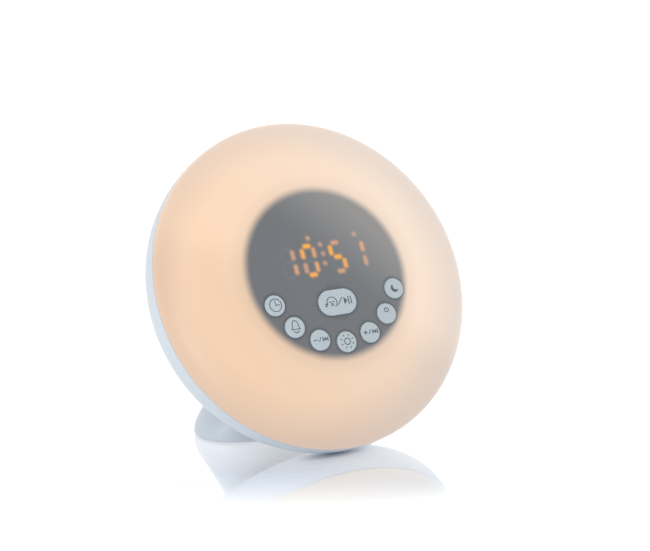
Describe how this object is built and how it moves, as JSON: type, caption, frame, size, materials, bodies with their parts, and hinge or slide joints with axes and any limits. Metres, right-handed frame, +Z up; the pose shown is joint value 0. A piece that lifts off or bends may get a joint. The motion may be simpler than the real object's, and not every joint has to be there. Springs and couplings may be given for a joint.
{
  "type": "sunrise alarm clock",
  "caption": "Round bedside sunrise alarm clock: a glowing opal dome with a dark display face and press keys, leaning back on a hollow foot with a sliding battery door.",
  "frame": {"origin": "on the table, under the middle of the clock's bounding box", "axes": "+Z up, +X to the right of someone facing the clock, the glowing face looks along -Y"},
  "size_m": [0.17, 0.107, 0.1548],
  "materials": {
    "opal_dome": "satin opal, glowing warm from inside",
    "dark_face": "matte",
    "inner_moulding": "matte",
    "key_grey": "satin",
    "switch_plunger": "matte",
    "sheet_metal": "plated",
    "circuit_board": "lacquered",
    "screw_steel": "zinc plated",
    "display_black": "matte",
    "lit_segment": "glowing",
    "unlit_segment": "frosted",
    "lamp_board_white": "white solder mask",
    "led_phosphor": "clear resin over phosphor",
    "reflector_white": "matte",
    "chip_black": "moulded",
    "capacitor_sleeve": "shrink sleeve",
    "socket_cream": "moulded",
    "ribbon_grey": "smooth",
    "cone_paper": "pressed paper pulp",
    "foam_black": "open foam",
    "shell_white": "satin gloss",
    "base_white": "fine spark texture",
    "pad_rubber": "matte",
    "cell_sleeve": "printed sleeve, plain",
    "contact_nickel": "nickel plated",
    "lead_insulation": "smooth"
  },
  "bodies": {
    "clock": {"diffuser_dome": "opal_dome", "face_plate": "dark_face", "front_carrier": "inner_moulding", "key_switches": "sheet_metal", "key_board": "circuit_board", "key_board_screws": "screw_steel", "display_module": "display_black", "lit_segments": "lit_segment", "unlit_segments": "unlit_segment", "lamp_board": "lamp_board_white", "lamp_leds": "led_phosphor", "reflector_pan": "reflector_white", "main_board": "circuit_board", "board_chips": "chip_black", "board_capacitors": "capacitor_sleeve", "lead_sockets": "socket_cream", "main_board_screws": "screw_steel", "ribbon_cable": "ribbon_grey", "power_inlet": "chip_black", "speaker_frame": "sheet_metal", "speaker_cone": "cone_paper", "speaker_magnet": "chip_black", "speaker_gasket": "foam_black", "speaker_screws": "screw_steel", "speaker_grille": "shell_white", "rear_shell": "shell_white", "rear_screws": "screw_steel", "foot_shell": "shell_white", "foot_screws": "screw_steel", "base_plate": "base_white", "base_screws": "screw_steel", "foot_pads": "pad_rubber", "battery_tray": "inner_moulding", "battery_cells": "cell_sleeve", "battery_contacts": "contact_nickel", "battery_springs": "contact_nickel", "battery_leads": "lead_insulation", "speaker_leads": "lead_insulation", "lamp_leads": "lead_insulation"},
    "clock_key": {"key_clock": "key_grey", "plunger_clock": "switch_plunger"},
    "alarm_key": {"key_alarm": "key_grey", "plunger_alarm": "switch_plunger"},
    "minus_key": {"key_minus": "key_grey", "plunger_minus": "switch_plunger"},
    "light_key": {"key_light": "key_grey", "plunger_light": "switch_plunger"},
    "plus_key": {"key_plus": "key_grey", "plunger_plus": "switch_plunger"},
    "mode_key": {"key_mode": "key_grey", "plunger_mode": "switch_plunger"},
    "sleep_key": {"key_sleep": "key_grey", "plunger_sleep": "switch_plunger"},
    "snooze_key": {"key_snooze": "key_grey", "plunger_snooze": "switch_plunger"},
    "door": {"battery_door": "base_white"}
  },
  "joints": [
    {"name": "clock_press", "type": "slide", "parent": "clock", "child": "clock_key", "axis": [0, 0.866, -0.5], "range_m": [0, 0.0006], "stiffness_N_per_m": 1500, "springref_m": -0.0008},
    {"name": "alarm_press", "type": "slide", "parent": "clock", "child": "alarm_key", "axis": [0, 0.866, -0.5], "range_m": [0, 0.0006], "stiffness_N_per_m": 1500, "springref_m": -0.0008},
    {"name": "minus_press", "type": "slide", "parent": "clock", "child": "minus_key", "axis": [0, 0.866, -0.5], "range_m": [0, 0.0006], "stiffness_N_per_m": 1500, "springref_m": -0.0008},
    {"name": "light_press", "type": "slide", "parent": "clock", "child": "light_key", "axis": [0, 0.866, -0.5], "range_m": [0, 0.0006], "stiffness_N_per_m": 1500, "springref_m": -0.0008},
    {"name": "plus_press", "type": "slide", "parent": "clock", "child": "plus_key", "axis": [0, 0.866, -0.5], "range_m": [0, 0.0006], "stiffness_N_per_m": 1500, "springref_m": -0.0008},
    {"name": "mode_press", "type": "slide", "parent": "clock", "child": "mode_key", "axis": [0, 0.866, -0.5], "range_m": [0, 0.0006], "stiffness_N_per_m": 1500, "springref_m": -0.0008},
    {"name": "sleep_press", "type": "slide", "parent": "clock", "child": "sleep_key", "axis": [0, 0.866, -0.5], "range_m": [0, 0.0006], "stiffness_N_per_m": 1500, "springref_m": -0.0008},
    {"name": "snooze_press", "type": "slide", "parent": "clock", "child": "snooze_key", "axis": [0, 0.866, -0.5], "range_m": [0, 0.0006], "stiffness_N_per_m": 1500, "springref_m": -0.0008},
    {"name": "door_slide", "type": "slide", "parent": "clock", "child": "door", "axis": [0, 1, 0], "range_m": [0, 0.04]}
  ]
}
